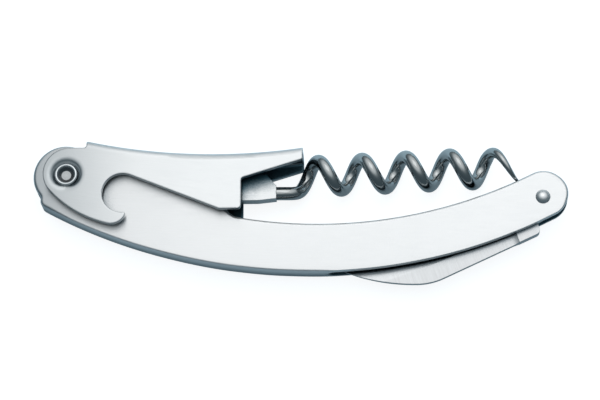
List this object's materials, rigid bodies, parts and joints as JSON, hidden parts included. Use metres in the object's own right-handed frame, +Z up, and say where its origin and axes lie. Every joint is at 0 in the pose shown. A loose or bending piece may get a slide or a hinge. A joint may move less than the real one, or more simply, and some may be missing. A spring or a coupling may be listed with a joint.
{
  "type": "lever corkscrew",
  "caption": "Folding lever corkscrew in stainless sheet: curved channel handle, crown-cap lever, coiled worm and a small serrated foil knife, all folded shut.",
  "frame": {"origin": "centre of the folded tool's footprint, on the face of the lever that it lies on", "axes": "+X along the tool towards the knife's rivet, +Y from the handle's belly towards the lever's web, +Z up, along every rivet"},
  "size_m": [0.12, 0.0336, 0.0098],
  "materials": {
    "handle_sheet": "satin stainless sheet",
    "lever_sheet": "satin stainless sheet",
    "rivet_steel": "bright turned stainless",
    "worm_steel": "dark hardened wire",
    "head_steel": "satin flat bar",
    "knife_steel": "ground across the blade"
  },
  "bodies": {
    "handle_body": {"handle": "handle_sheet", "lever_rivet": "rivet_steel", "lever_spacer": "rivet_steel", "worm_rivet": "rivet_steel", "knife_rivet": "rivet_steel", "knife_washer_front": "rivet_steel", "knife_washer_rear": "rivet_steel"},
    "lever_body": {"lever": "lever_sheet"},
    "worm_body": {"worm_head": "head_steel", "worm_screw": "worm_steel"},
    "knife_body": {"knife_blade": "knife_steel"}
  },
  "joints": [
    {"name": "lever_pivot", "type": "hinge", "parent": "handle_body", "child": "lever_body", "pos_m": [-0.05233, 0.00877, 0.0049], "axis": [0, 0, 1], "range_deg": [0, 160]},
    {"name": "worm_pivot", "type": "hinge", "parent": "handle_body", "child": "worm_body", "pos_m": [-0.02178, 0.00632, 0.0049], "axis": [0, 0, 1], "range_deg": [0, 90]},
    {"name": "knife_pivot", "type": "hinge", "parent": "handle_body", "child": "knife_body", "pos_m": [0.05462, 0.00252, 0.0049], "axis": [0, 0, 1], "range_deg": [0, 180]}
  ],
  "couplings": [
    {"joint": "worm_pivot", "follows": "lever_pivot", "ratio": 0.5625}
  ]
}
